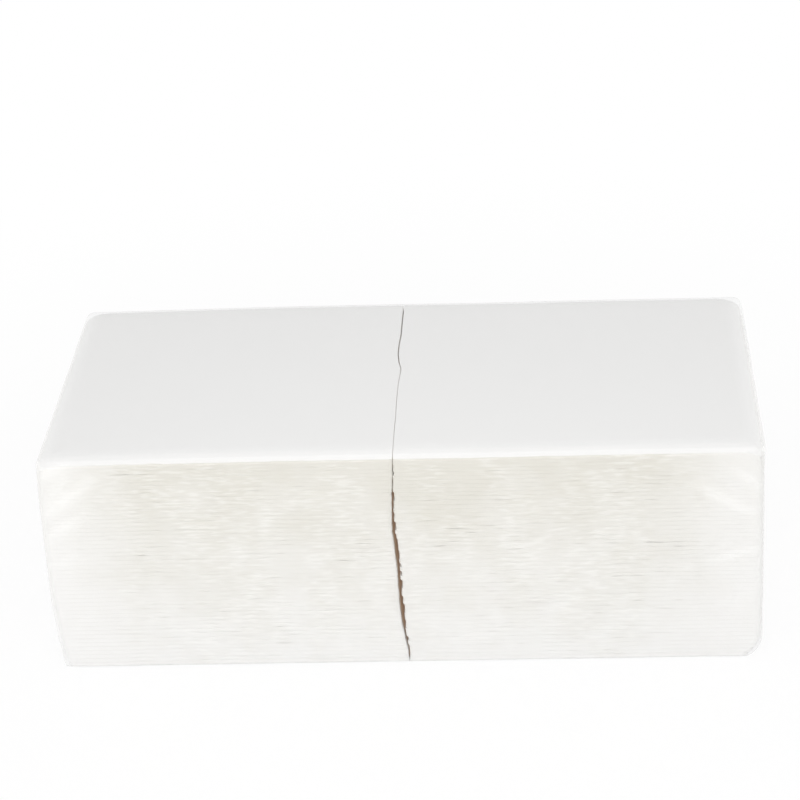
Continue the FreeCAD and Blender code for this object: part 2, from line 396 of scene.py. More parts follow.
@dataclass(frozen=True)
class NapkinPaper:
    """White tissue: matt and finely creped; painted shade makes it creamier towards the top of the
    front and brown in the seam, which also has a faint painted glow, and painted glints lie in short
    dashes.
    """

    white: Colour = (0.89, 0.887, 0.88)
    # The second colour is painted shade, reached towards the top of the sides.
    shaded_cream: Colour = (0.74, 0.722, 0.665)
    roughness: float = 0.92
    shine: float = 0.15
    crepe_stretch: Triple = (260.0, 900.0, 900.0)
    crepe_depth: float = 0.016
    fibre_scale: float = 2600.0
    fibre_depth: float = 0.03
    upward_shade: float = 0.95
    upward_shade_height: float = 82.0
    cloud_scale: float = 75.0
    cloud_range: Range = (0.35, 0.7)
    cloud_cream: float = 0.2
    cream_spot: Triple = (14.0, -60.0, 70.0)
    spot_reach: Range = (6.0, 24.0)
    spot_cream: float = 0.25
    side_range: Range = (0.55, 0.9)
    end_reach: Range = (84.0, 121.0)
    end_whiteness: float = 0.75
    # Painted glints: short bright dashes on the sides.
    glint_dash: Colour = (0.985, 0.98, 0.96)
    glint_dash_share: float = 0.3
    dash_stretch: Triple = (210.0, 210.0, 1150.0)
    dash_range: Range = (0.44, 0.7)
    patch_stretch: Triple = (75.0, 75.0, 40.0)
    patch_range: Range = (0.3, 0.6)
    # The seam's painted brown shade and its faint painted glow.
    seam_shade: Colour = (0.87, 0.74, 0.60)
    glow: Colour = (0.046, 0.031, 0.019)
    wall_range: Range = (0.45, 0.8)
    seam_reach: Range = (4.0, 6.0)
    seam_front: float = -60.2
    shade_run: Range = (0.0, 3.5)
    glow_run: Range = (0.3, 3.5)
    seam_top: Range = (78.0, 81.0)
    seam_back: Range = (10.0, 50.0)

    def tissue(self, shader: Shader, place: Field, facing: Field) -> Field:
        """The colour outside the seam.

        Args:
            shader: The material's tree.
            place: The point on the napkin.
            facing: The direction its surface faces.

        Returns:
            White on top and at the ends; on the other sides creamy with painted shade that deepens
            upward, with painted glints in short bright dashes.
        """
        side = 1 - shader.axis(facing, "Z").between(*self.side_range)
        far = abs(shader.axis(place, "X")).within(self.end_reach)
        spot = tuple(value * MM for value in self.cream_spot)
        away = shader.node(
            "ShaderNodeVectorMath", {"operation": "DISTANCE"}, {0: place, 1: spot}, output="Value"
        )
        spotted = 1 - away.within(self.spot_reach)
        clouds = shader.noise(place, self.cloud_scale).between(*self.cloud_range)
        # Painted shade: the sides go from white at the foot to cream towards the top of the front, less
        # so at the ends; clouds add random tone and a spot near the top beside the seam adds more
        # cream.
        even = shader.axis(place, "Z") * (self.upward_shade / (self.upward_shade_height * MM))
        shade_and_tone = (even + clouds * self.cloud_cream + spotted * self.spot_cream) * side
        shade_and_tone = shade_and_tone * (1 - far * self.end_whiteness)
        paper = shader.tint(shade_and_tone, solid(self.white), solid(self.shaded_cream))
        # Painted highlight: the pressed dashes are short bright marks along the layers, standing in for
        # glints of the film where it presses on the folds.
        dashes = shader.noise(shader.stretched(place, self.dash_stretch), 1.0, 1.0)
        patches = shader.noise(shader.stretched(place, self.patch_stretch), 1.0, 1.0)
        pressed = dashes.between(*self.dash_range) * patches.between(*self.patch_range)
        pressed = pressed * side * (1 - far)
        return shader.tint(pressed * self.glint_dash_share, paper, solid(self.glint_dash))

    def seam_depth(self, shader: Shader, place: Field, facing: Field) -> Field:
        """How much a point lies on a wall of the seam, from 0 to 1."""
        wall = abs(shader.axis(facing, "X")).between(*self.wall_range)
        near = wall * (1 - abs(shader.axis(place, "X")).within(self.seam_reach))
        under = 1 - shader.axis(place, "Z").within(self.seam_top)
        return near * under * (1 - shader.axis(place, "Y").within(self.seam_back))

    def behind_front(self, shader: Shader, place: Field, run: Range) -> Field:
        """0 at the front of the seam and 1 further in, with the rise's run given."""
        return shader.axis(place, "Y").within((self.seam_front + run[0], self.seam_front + run[1]))

    def material(self) -> bpy.types.Material:
        """Builds the paper's material."""
        material = new_material("napkin_paper")
        shader = Shader(material)
        place = shader.place()
        facing = shader.node("ShaderNodeNewGeometry", output="Normal")
        crepe = shader.noise(shader.stretched(place, self.crepe_stretch), 1.0, 3.0)
        fibres = shader.noise(place, self.fibre_scale, 1.0)
        seam = self.seam_depth(shader, place, facing)
        # Painted shade: a little behind the front the seam's walls turn warm brown, standing in for
        # shade and bounced light in the narrow gap.
        painted_shade = seam * self.behind_front(shader, place, self.shade_run)
        # Painted light: deeper in, the seam's walls glow faintly warm by emission, standing in for
        # light that comes through the paper.
        inner = painted_shade * self.behind_front(shader, place, self.glow_run)
        paper = self.tissue(shader, place, facing)
        inputs = {
            "Base Color": shader.tint(painted_shade, paper, solid(self.seam_shade)),
            "Roughness": self.roughness,
            "Specular IOR Level": self.shine,
            "Emission Color": shader.tint(inner, BLACK, solid(self.glow)),
            "Emission Strength": 1.0,
            "Normal": shader.relief(crepe * self.crepe_depth + fibres * self.fibre_depth, 1.0),
        }
        shader.finish(shader.node("ShaderNodeBsdfPrincipled", inputs=inputs))
        return material


@dataclass(frozen=True)
class ClearFilm:
    """Thin glossy film that lets the napkins through; milky where seen edge on and in its folds, which
    also carry painted glints.
    """

    passing: Colour = (0.992, 0.992, 0.992)
    haze: Colour = (0.99, 0.99, 0.985)
    haze_share: float = 0.004
    edge_haze: float = 0.3
    edge_haze_power: float = 3.0
    fold_haze: float = 0.12
    glint_share: float = 0.058
    glint_strength: float = 1.8
    mirror_share: float = 0.018
    edge_mirror: float = 0.05
    edge_mirror_power: float = 5.0
    roughness: float = 0.07
    pull_stretch: Triple = (120.0, 420.0, 520.0)
    pull_depth: float = 0.05

    def material(self) -> bpy.types.Material:
        """Builds the film's material."""
        material = new_material("clear_film")
        shader = Shader(material)
        place = shader.place()
        pulls = shader.noise(shader.stretched(place, self.pull_stretch), 1.0, 2.0)
        normal = shader.relief(pulls, self.pull_depth)
        facing = shader.node("ShaderNodeLayerWeight", inputs={"Blend": 0.5}, output="Facing")
        mirror = self.mirror_share + self.edge_mirror * facing**self.edge_mirror_power
        folds = shader.node("ShaderNodeAttribute", {"attribute_name": MILK}, output="Fac")
        milk = self.haze_share + self.edge_haze * facing**self.edge_haze_power + self.fold_haze * folds
        clear = shader.node("ShaderNodeBsdfTransparent", inputs={"Color": solid(self.passing)})
        milky = shader.node("ShaderNodeBsdfDiffuse", inputs={"Color": solid(self.haze)})
        # Painted highlight: along the folds the film glows faintly by emission in place of the lamps'
        # glints.
        painted_glint = shader.node("ShaderNodeEmission", inputs={"Strength": self.glint_strength})
        gloss_inputs = {"Color": WHITE, "Roughness": self.roughness, "Normal": normal}
        gloss = shader.node("ShaderNodeBsdfAnisotropic", inputs=gloss_inputs)
        body = shader.mixed(milk, clear, milky)
        body = shader.mixed(self.glint_share * folds, body, painted_glint)
        shader.finish(shader.mixed(mirror, body, gloss))
        return material


class Hand(Enum):
    """Which of the two piles is meant, by its place in the pack."""

    LEFT = "left"
    RIGHT = "right"


@dataclass(frozen=True)
class Swell:
    """A soft rise of the pack's top along its length.

    Args:
        length: How far it runs.
        power: How narrow its crest is.
        share: Its height as a share of the crown.
    """

    length: float
    power: float
    share: float

    def rise(self, run: Array) -> Array:
        """Its height at some distances from its start, as a share of the crown."""
        return np.sin(np.pi * np.clip(run / self.length, 0.0, 1.0)) ** self.power * self.share


@dataclass(frozen=True)
class PackForm:
    """The form that the two piles and the film share, measured on the CAD model and the photo."""

    half_length: float
    half_depth: float
    height: float
    film_front: float = -61.25
    lap: float = 10.0
    film_gap: float = 0.12
    crown: float = 1.1
    left_swell: Swell = Swell(length=170.0, power=1.3, share=0.95)
    right_swell: Swell = Swell(length=105.0, power=2.0, share=0.35)
    right_swell_start: float = 15.0
    crown_margin: float = 4.0
    crown_power: float = 6.0
    front_flatness: float = 0.55
    front_run: Range = (-10.0, 55.0)
    edge_radius: float = 3.4
    seam_heights: tuple[float, ...] = (
        0.0, 4.8, 10.2, 15.5, 22.4, 27.6, 37.4, 44.1, 51.6, 59.1, 68.2, 75.2, 82.0,
    )
    seam_left: tuple[float, ...] = (
        0.97, 0.75, -0.1, -0.85, -1.4, -1.5, -1.75, -2.1, -2.7, -2.5, -2.05, -1.66, -1.5,
    )
    seam_right: tuple[float, ...] = (
        1.0, 1.1, 0.6, -0.05, -0.15, -0.45, -0.6, -1.05, -1.65, -1.75, -1.85, -1.6, -1.48,
    )
    wander_depths: tuple[float, ...] = (
        -62.0, -57.6, -44.0, -35.0, -21.0, -9.0, 0.0, 3.1, 8.1, 15.7, 23.4, 31.0, 45.0, 55.0, 62.0,
    )
    wander_across: tuple[float, ...] = (
        0.2, 0.2, 0.1, 0.1, -0.1, -0.1, 0.2, 0.4, -0.6, -1.3, -1.3, -0.95, -1.0, -1.0, -1.3,
    )
    wander_fade: float = 12.0
    seam_parting: float = 0.3
    parting_run: Range = (-12.0, 22.0)
    outer_heights: tuple[float, ...] = (0.0, 1.6, 4.0, 8.0, 14.0, 22.0, 30.0, 50.0, 75.0, 82.0)
    outer_left: tuple[float, ...] = (
        -118.8, -119.4, -120.0, -120.6, -121.3, -122.0, -122.6, -123.0, -122.9, -122.6,
    )
    outer_right: tuple[float, ...] = (
        117.2, 119.0, 121.4, 122.7, 123.05, 123.05, 123.05, 123.0, 122.9, 122.6,
    )
    tuck_heights: tuple[float, ...] = (0.0, 0.6, 1.6, 3.4, 5.5, 8.6)
    tuck_depths: tuple[float, ...] = (5.4, 4.5, 3.1, 1.6, 0.5, 0.0)

    @classmethod
    def from_cad(cls) -> "PackForm":
        """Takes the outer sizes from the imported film."""
        low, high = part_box("film_wrap")
        size = (high - low) / MM
        return cls(half_length=size.x / 2, half_depth=size.y / 2, height=size.z)

    @property
    def flap_shift(self) -> float:
        """How far outside the end's diagonals the edges of its flaps run."""
        return self.half_depth - self.height / 2

    def crowning(self, across: Array, along: Array) -> Array:
        """How much the top of the pack stands above its edges."""
        left = self.left_swell.rise(across + self.half_length)
        right = self.right_swell.rise(across - self.right_swell_start)
        edge = self.half_depth + self.crown_margin
        inside = 1.0 - np.clip(np.abs(along) / edge, 0.0, 1.0) ** self.crown_power
        forward = 1.0 - self.front_flatness * smooth_step(-along, *self.front_run)
        return self.crown * (left + right) * inside * forward

    def seam(self, hand: Hand, along: Array, height: Array) -> Array:
        """Where a pile's inner side lies across the pack.

        Args:
            hand: The pile.
            along: Depth in the pack.
            height: Height in the pack.

        Returns:
            The X of the pile's inner side.
        """
        column = self.seam_left if hand is Hand.LEFT else self.seam_right
        wall = np.interp(height, self.seam_heights, column)
        wander = np.interp(along, self.wander_depths, self.wander_across)
        if hand is Hand.RIGHT:
            wander = wander + self.seam_parting * smooth_step(along, *self.parting_run)
        near_top = np.exp(-(self.height - np.asarray(height)) / self.wander_fade)
        return wall + wander * near_top

    def foot_tuck(self, height: Array) -> Array:
        """How far the right end draws in towards its foot."""
        return np.interp(height, self.tuck_heights, self.tuck_depths)

    def outer_side(self, hand: Hand, height: float) -> float:
        """Where a pile's outer side lies across the pack at a height."""
        column = self.outer_left if hand is Hand.LEFT else self.outer_right
        return float(np.interp(height, self.outer_heights, column))


@dataclass(frozen=True)
class NapkinPile:
    """One pile of quarter-folded napkins, each a closed mesh of its own.

    The closed fold faces the front, the first fold lies on the left side, and the four loose
    leaf edges show on the right side and at the back.
    """

    form: PackForm
    hand: Hand
    finish: bpy.types.Material
    napkins: int = 50
    leaves: int = 4
    side: float = 120.4
    front_edge: float = -60.7
    end_corner: float = 2.4
    seam_corner: float = 0.7
    front_columns: int = 84
    side_columns: int = 42
    corner_columns: int = 5
    profile_steps: int = 12
    slit: float = 0.0005
    underside: float = 0.35
    top_gap: float = 0.1
    left_seed: int = 11
    right_seed: int = 47
    waves: Waves = Waves(0, (17.0, 17.0), 0.34, 0.33)
    shivers: Waves = Waves(1, (5.0, 5.0), 0.24, 0.9, layered=False)
    calm_foot: float = 6.0
    calm_top: float = 12.0
    calm_ends: Range = (6.0, 40.0)
    end_waves: float = 0.35
    droop: float = 2.2
    back_droop: float = 0.6
    droop_run: float = 6.5
    droop_limit: float = 1.3
    back_margin: float = 1.0
    end_margin: float = 2.0
    press_power: int = 14
    nose_depth: float = 0.14
    right_nose_share: float = 0.82
    twin_depth: float = 0.22
    twin_power: int = 3
    leaf_depth: float = 0.18
    leaf_power: int = 4
    leaf_scatter: float = 0.3
    slips: Waves = Waves(4, (30.0,), 0.5, 1.0)
    fan: float = 0.9
    fan_run: Range = (30.0, 105.0)
    line_columns: Waves = Waves(3, (7.5,), 0.5, 0.14, layered=False)
    line_dashes: Waves = Waves(3, (3.0,), 0.85, 0.85, layered=False)
    dash_shift: float = 120.0
    line_range: Range = (-0.1, 0.75)
    line_ends: Range = (16.0, 38.0)
    line_seam: Range = (3.0, 9.0)
    scatter: Waves = Waves(2, (13.0,), 0.09, 0.55)
    twist: float = 0.00005
    twist_change: float = 1.7
    twist_row: float = 3.5
    left_jag: float = 0.12
    right_jag: float = 0.4
    jag_row: float = 77.0
    seam_run: float = 30.0
    seam_smoothness: float = 0.75
    cap_rings: tuple[float, ...] = (
        0.996, 0.99, 0.98, 0.965, 0.94, 0.9, 0.84, 0.76, 0.66, 0.54, 0.42, 0.3, 0.18, 0.08,
    )

    @property
    def seed(self) -> int:
        """The seed of this pile's noise."""
        return self.left_seed if self.hand is Hand.LEFT else self.right_seed

    def chance(self, place: float, row: float) -> float:
        """A fixed random number from -1 to 1 for one napkin."""
        return float(Ripple(self.seed + self.scatter.pattern).at(place, row))

    def rim(self) -> tuple[Array, Array, Array]:
        """The plan of a napkin, once round from the front left corner.

        Returns:
            Points from the middle of the napkin, outward directions, and how much each point
            belongs to the front, right, back and left side.
        """
        half = self.side / 2
        corners = [self.seam_corner, self.seam_corner, self.end_corner, self.end_corner]
        if self.hand is Hand.RIGHT:
            corners = corners[2:] + corners[:2]
        sides = np.eye(4)
        points, outward, shares = [], [], []
        for side in range(4):
            corner = corners[side]
            turn = math.radians(90 * side)
            forward = np.array([math.cos(turn), math.sin(turn)])
            out = np.array([math.sin(turn), -math.cos(turn)])
            columns = self.front_columns if side == 0 else self.side_columns
            for run in np.linspace(corners[side - 1] - half, half - corner, columns):
                points.append(forward * run + out * half)
                outward.append(out)
                shares.append(sides[side])
            for step in range(1, self.corner_columns + 1):
                share = step / (self.corner_columns + 1)
                angle = turn + share * math.pi / 2
                direction = np.array([math.sin(angle), -math.cos(angle)])
                points.append((forward + out) * (half - corner) + direction * corner)
                outward.append(direction)
                shares.append(sides[side] * (1.0 - share) + sides[(side + 1) % 4] * share)
        return np.array(points), np.array(outward), np.array(shares)

    def level(self, layer: float, across: Array, along: Array) -> Array:
        """The height of the joint under a napkin, counted from the pack's underside.

        Args:
            layer: How many napkins lie below the joint.
            across: X in the pack.
            along: Y in the pack.

        Returns:
            Heights.
        """
        share = layer / self.napkins
        top = self.form.height - self.form.film_gap - self.top_gap
        top = top + self.form.crowning(across, along)
        plain = self.underside + share * (top - self.underside)
        calm = min(1.0, share * self.calm_foot) * min(1.0, (1.0 - share) * self.calm_top)
        ends = smooth_step(self.form.half_length - np.abs(across), *self.calm_ends)
        wave = self.waves.rise(self.seed, across, along, row=layer)
        shiver = self.shivers.rise(self.seed, across, along, row=layer)
        return plain + (wave + shiver) * calm * (self.end_waves + (1.0 - self.end_waves) * ends)

    def edge_fall(self, across: Array, along: Array) -> Array:
        """How far the uppermost napkins bend down where the film's rounded edge presses them."""
        front = along - self.front_edge
        back = -self.front_edge - along + self.back_margin
        end = self.form.half_length - self.end_margin - np.abs(across)
        fall = np.zeros(np.shape(across))
        for distance, share in ((front, 1.0), (back, self.back_droop), (end, 1.0)):
            near = np.clip(1.0 - distance / self.droop_run, 0.0, self.droop_limit)
            fall = fall + self.droop * share * near**2
        return fall

    def openness(self, layer: int, across: Array, along: Array) -> Array:
        """How open the joints under and over a napkin are along the front.

        Args:
            layer: The napkin's place in the pile.
            across: X of the columns.
            along: Y of the columns.

        Returns:
            From 0, pressed shut, to 1, open.
        """
        run = across + along
        fan = self.fan * smooth_step(-across, *self.fan_run) * (self.napkins - layer)
        columns = self.line_columns.rise(self.seed, run - fan, row=layer)
        dashes = self.line_dashes.rise(self.seed, run + self.dash_shift, row=layer)
        ends = smooth_step(self.form.half_length - np.abs(across), *self.line_ends)
        if self.hand is Hand.RIGHT:
            ends = ends * smooth_step(across, *self.line_seam)
        return smooth_step(columns + dashes, *self.line_range) * ends

    @staticmethod
    def joints(heights: Array, count: int) -> Array:
        """0 in the middle of each of some equal leaves and 1 at the joints between them."""
        share = (heights * count) % 1.0
        share[-1] = 1.0
        return np.abs(2 * share - 1)

    def profile(self, shares: Array, layer: int, run: Array, open_share: Array) -> tuple[Array, Array]:
        """How far each point of a napkin's edge stands back from its outline.

        Args:
            shares: How much each column belongs to each side.
            layer: The napkin's place in the pile.
            run: How far along the edge each column lies.
            open_share: How open the joints of the front are.

        Returns:
            The heights of the profile's points as shares of the thickness, and the depths
            with one row for each column.
        """
        heights = np.linspace(0.0, 1.0, self.profile_steps + 1)
        depth = self.nose_depth * (self.right_nose_share if self.hand is Hand.RIGHT else 1.0)
        nose = depth * (0.5 + 0.5 * np.cos(2 * np.pi * heights))
        twin = self.twin_depth * self.joints(heights, self.leaves // 2) ** self.twin_power
        leaf = self.leaf_depth * self.joints(heights, self.leaves) ** self.leaf_power
        number = np.minimum((heights * self.leaves).astype(int), self.leaves - 1)
        slips = [
            self.slips.rise(self.seed, run, row=layer * self.leaves + leaf_number) + 0.5
            for leaf_number in range(self.leaves)
        ]
        slipped = np.stack([slips[k] for k in number], axis=1) * self.leaf_scatter
        folds = shares[:, :1] * nose[None] * open_share[:, None] + shares[:, 3:] * twin[None]
        leaves = (shares[:, 1:2] + shares[:, 2:3]) * (leaf[None] + slipped)
        return heights, folds + leaves

    def lay(self, plan: Array, layer: int) -> tuple[Array, Array, float]:
        """Lays a napkin's plan in the pack.

        Args:
            plan: Points counted from the middle of the napkin.
            layer: The napkin's place in the pile.

        Returns:
            X and Y of the points, and the X of the napkin's inner side at its front.
        """
        height = self.underside + (layer + 0.5) / self.napkins * self.form.height
        inner = float(self.form.seam(self.hand, np.array(self.front_edge), height))
        outer = self.form.outer_side(self.hand, height)
        twist = self.twist * self.chance(layer * self.twist_change + 0.5, self.twist_row)
        centre = (inner + outer) / 2
        across = centre + plan[:, 0] * abs(outer - inner) / self.side - plan[:, 1] * twist
        along = plan[:, 1] + plan[:, 0] * twist + (self.side / 2 + self.front_edge)
        return across, along, inner

    def strayed(self, layer: int, run: Array, calm: Array, seam_side: Array) -> Array:
        """How far a napkin's edge lies outside the pile's even outline.

        Args:
            layer: The napkin's place in the pile.
            run: How far along the edge each column lies.
            calm: How much of the scatter each column keeps, away from the seam.
            seam_side: How much of the napkin's own jag each column has, beside the seam.

        Returns:
            One distance for each column.
        """
        scatter = self.scatter.rise(self.seed, run, row=layer)
        jag = self.right_jag if self.hand is Hand.RIGHT else self.left_jag
        return scatter * calm + jag * self.chance(layer, self.jag_row) * seam_side

    def add_napkin(self, mesher: Mesher, layer: int) -> None:
        """Adds one napkin to the mesh.

        Args:
            mesher: Where the napkin goes.
            layer: Its place in the pile, counted from below.
        """
        plan, outward, shares = self.rim()
        across, along, inner = self.lay(plan, layer)
        open_share = self.openness(layer, across, along)
        heights, depths = self.profile(shares, layer, across + along, open_share)
        pressed_low = (layer / self.napkins) ** self.press_power
        pressed = ((layer + 1) / self.napkins) ** self.press_power
        fall = self.edge_fall(across, along)
        low = self.level(layer, across, along) + self.slit - fall * pressed_low
        high = self.level(layer + 1, across, along) - self.slit - fall * pressed
        levels = low[:, None] + (high - low)[:, None] * heights[None]
        towards_seam = 1.0 if self.hand is Hand.LEFT else -1.0
        inner_side = smooth_step(plan[:, 0] * towards_seam, self.seam_run, self.side / 2)
        shift = (self.form.seam(self.hand, along[:, None], levels) - inner) * inner_side[:, None]
        on_front = shares[:, 0]
        calm = (1.0 - on_front * (1.0 - open_share)) * (1.0 - inner_side)
        seam_side = inner_side * (1.0 - pressed) * (1.0 - on_front)
        stray = self.strayed(layer, across + along, calm, seam_side)
        smoothness = self.seam_smoothness * inner_side * pressed
        reach = stray[:, None] - depths * (1.0 - smoothness)[:, None]
        points = np.empty((self.profile_steps + 1, len(plan), 3))
        points[..., 0] = (across[:, None] + outward[:, :1] * reach + shift).T
        points[..., 1] = (along[:, None] + outward[:, 1:] * reach).T
        points[..., 2] = levels.T
        self.add_skin(mesher, points, on_top=layer == self.napkins - 1)

    def add_skin(self, mesher: Mesher, points: Array, on_top: bool) -> None:
        """Adds a napkin's edge, underside and upper side.

        Args:
            mesher: Where the skin goes.
            points: One ring of points for each step of the edge's profile, from below.
            on_top: Whether the napkin is the uppermost one, whose upper side shows.
        """
        columns = points.shape[1]
        start = mesher.add_points(points)
        rings = [start + step * columns for step in range(self.profile_steps + 1)]
        for ring, above in zip(rings, rings[1:]):
            mesher.add_band(ring, above, columns)
        mesher.add_disc(start, columns, downwards=True)
        if on_top:
            self.add_cap(mesher, points[-1], rings[-1])
        else:
            mesher.add_disc(rings[-1], columns)

    def add_cap(self, mesher: Mesher, edge: Array, edge_start: int) -> None:
        """Adds the uppermost napkin's top as rings that run in from its edge.

        Args:
            mesher: Where the rings go.
            edge: The points of the napkin's upper edge.
            edge_start: The index of the first of them.
        """
        columns = len(edge)
        middle = edge[:, :2].mean(axis=0)
        outer = edge_start
        for ring in self.cap_rings:
            flat = middle + (edge[:, :2] - middle) * ring
            across, along = flat[:, 0], flat[:, 1]
            level = self.level(self.napkins, across, along) - self.slit
            level = level - self.edge_fall(across, along)
            inner = mesher.add_points(np.column_stack([flat, level]))
            mesher.add_band(outer, inner, columns)
            outer = inner
        mesher.add_disc(outer, columns)

    def build(self) -> list[bpy.types.Object]:
        """Builds the pile as a lower and an upper half."""
        pieces = []
        half = self.napkins // 2
        for part, layers in (("lower", range(half)), ("upper", range(half, self.napkins))):
            mesher = Mesher(f"{self.hand.value}_pile_{part}")
            for layer in layers:
                self.add_napkin(mesher, layer)
            pieces.append(mesher.make(self.finish, [f"{self.hand.value}_pile"]))
        return pieces


@dataclass(frozen=True)
class Crease:
    """A raised pull in the film along a short path.

    Args:
        path: Points on the face, as two coordinates each.
        rise: How far its crest stands out.
        width: Half its width.
        milk: How milky the film is along its crest, which also sets its painted glint.
    """

    path: tuple[tuple[float, float], ...]
    rise: float
    width: float
    milk: float = 0.0

    TIPS = (0.02, 0.98)
    TIP_POWER = 0.7
    TIP_WIDTH = 0.45

    def nearness(self, first: Array, second: Array) -> Array:
        """How close some points of the face lie to the crest, from 0 to 1.

        Args:
            first: First coordinate on the face.
            second: Second coordinate on the face.

        Returns:
            1 on the crest, less beside it and towards both tips.
        """
        spots = np.array(self.path, dtype=float)
        if len(spots) == 1:
            gap = np.hypot(first - spots[0, 0], second - spots[0, 1])
            return np.exp(-((gap / self.width) ** 2))
        runs = np.diff(spots, axis=0)
        lengths = np.hypot(runs[:, 0], runs[:, 1])
        passed = np.concatenate([[0.0], np.cumsum(lengths)]) / lengths.sum()
        nearest = np.full(np.shape(first), np.inf)
        place = np.zeros(np.shape(first))
        for spot, run, length, before in zip(spots, runs, lengths, passed):
            share = ((first - spot[0]) * run[0] + (second - spot[1]) * run[1]) / length**2
            share = np.clip(share, 0.0, 1.0)
            gap = np.hypot(first - spot[0] - share * run[0], second - spot[1] - share * run[1])
            place = np.where(gap < nearest, before + share * length / lengths.sum(), place)
            nearest = np.minimum(nearest, gap)
        slim = np.sin(np.pi * np.clip(place, *self.TIPS)) ** self.TIP_POWER
        half_width = self.width * (self.TIP_WIDTH + (1.0 - self.TIP_WIDTH) * slim)
        return slim * np.exp(-((nearest / half_width) ** 2))


def creased(creases: Sequence[Crease], first: Array, second: Array) -> tuple[Array, Array]:
    """What some creases do to the film at some points of its face.

    Args:
        creases: The creases of that face.
        first: First coordinate on the face.
        second: Second coordinate on the face.

    Returns:
        How far the film stands out, and how milky it is, which also sets its painted glints.
    """
    rise = np.zeros(np.shape(first))
    milk = np.zeros(np.shape(first))
    for crease in creases:
        near = crease.nearness(first, second)
        rise = rise + crease.rise * near
        milk = np.maximum(milk, crease.milk * near)
    return rise, milk


FRONT_CREASES = (
    Crease(((-118.6, 66.5), (-116.0, 72.0), (-111.8, 77.5)), 0.3, 1.6, 0.4),
    Crease(((-122.5, 59.5), (-116.0, 65.5), (-110.0, 69.5), (-101.5, 77.5)), 0.42, 2.5, 0.5),
    Crease(((-122.8, 50.0), (-115.4, 56.0), (-106.0, 62.0)), 0.28, 2.2, 0.38),
    Crease(((-122.5, 40.0), (-111.5, 45.5)), 0.18, 2.0, 0.2),
    Crease(((-123.0, 75.0), (-112.0, 80.5)), 0.2, 2.4, 0.45),
    Crease(((97.8, 70.6), (106.2, 64.3), (110.9, 61.5), (115.7, 58.4), (123.5, 58.0)), 0.36, 1.8, 0.42),
    Crease(((103.0, 37.4), (112.4, 41.0), (123.5, 43.6)), 0.3, 1.4, 0.36),
    Crease(((93.0, 36.0), (102.0, 37.4)), 0.15, 1.0, 0.25),
    Crease(((108.8, 19.6), (115.2, 25.7)), 0.22, 1.5, 0.25),
    Crease(((110.0, 75.5), (117.0, 71.5), (123.0, 64.0)), 0.25, 1.6, 0.3),
    Crease(((-110.9, 31.9),), -0.3, 2.4),
    Crease(((-103.0, 30.1),), -0.2, 2.0),
    Crease(((-118.0, 14.6),), -0.3, 2.0),
    Crease(((115.9, 22.4),), -0.3, 2.0),
    Crease(((112.0, 31.0),), -0.2, 2.6),
)

END_CREASES = (
    Crease(((-60.0, 78.0), (-34.0, 52.0)), 0.45, 1.6),
    Crease(((60.0, 78.0), (36.0, 53.0)), 0.45, 1.6),
    Crease(((-60.0, 2.0), (-30.0, 31.0)), 0.4, 1.6),
    Crease(((60.0, 2.0), (32.0, 30.0)), 0.4, 1.6),
    Crease(((-56.0, 58.0), (-40.0, 44.0), (-22.0, 41.0)), 0.3, 1.5),
    Crease(((57.0, 52.0), (41.0, 40.0), (20.0, 38.0)), 0.3, 1.5),
    Crease(((-20.0, 77.0), (-12.0, 60.0)), 0.25, 2.0),
    Crease(((24.0, 76.0), (16.0, 62.0)), 0.25, 2.0),
    Crease(((-6.0, 4.0), (2.0, 24.0)), 0.22, 2.2),
)


def midway(share: Array) -> Array:
    """1 halfway up a step and 0 below and above it."""
    return 4.0 * share * (1.0 - share)


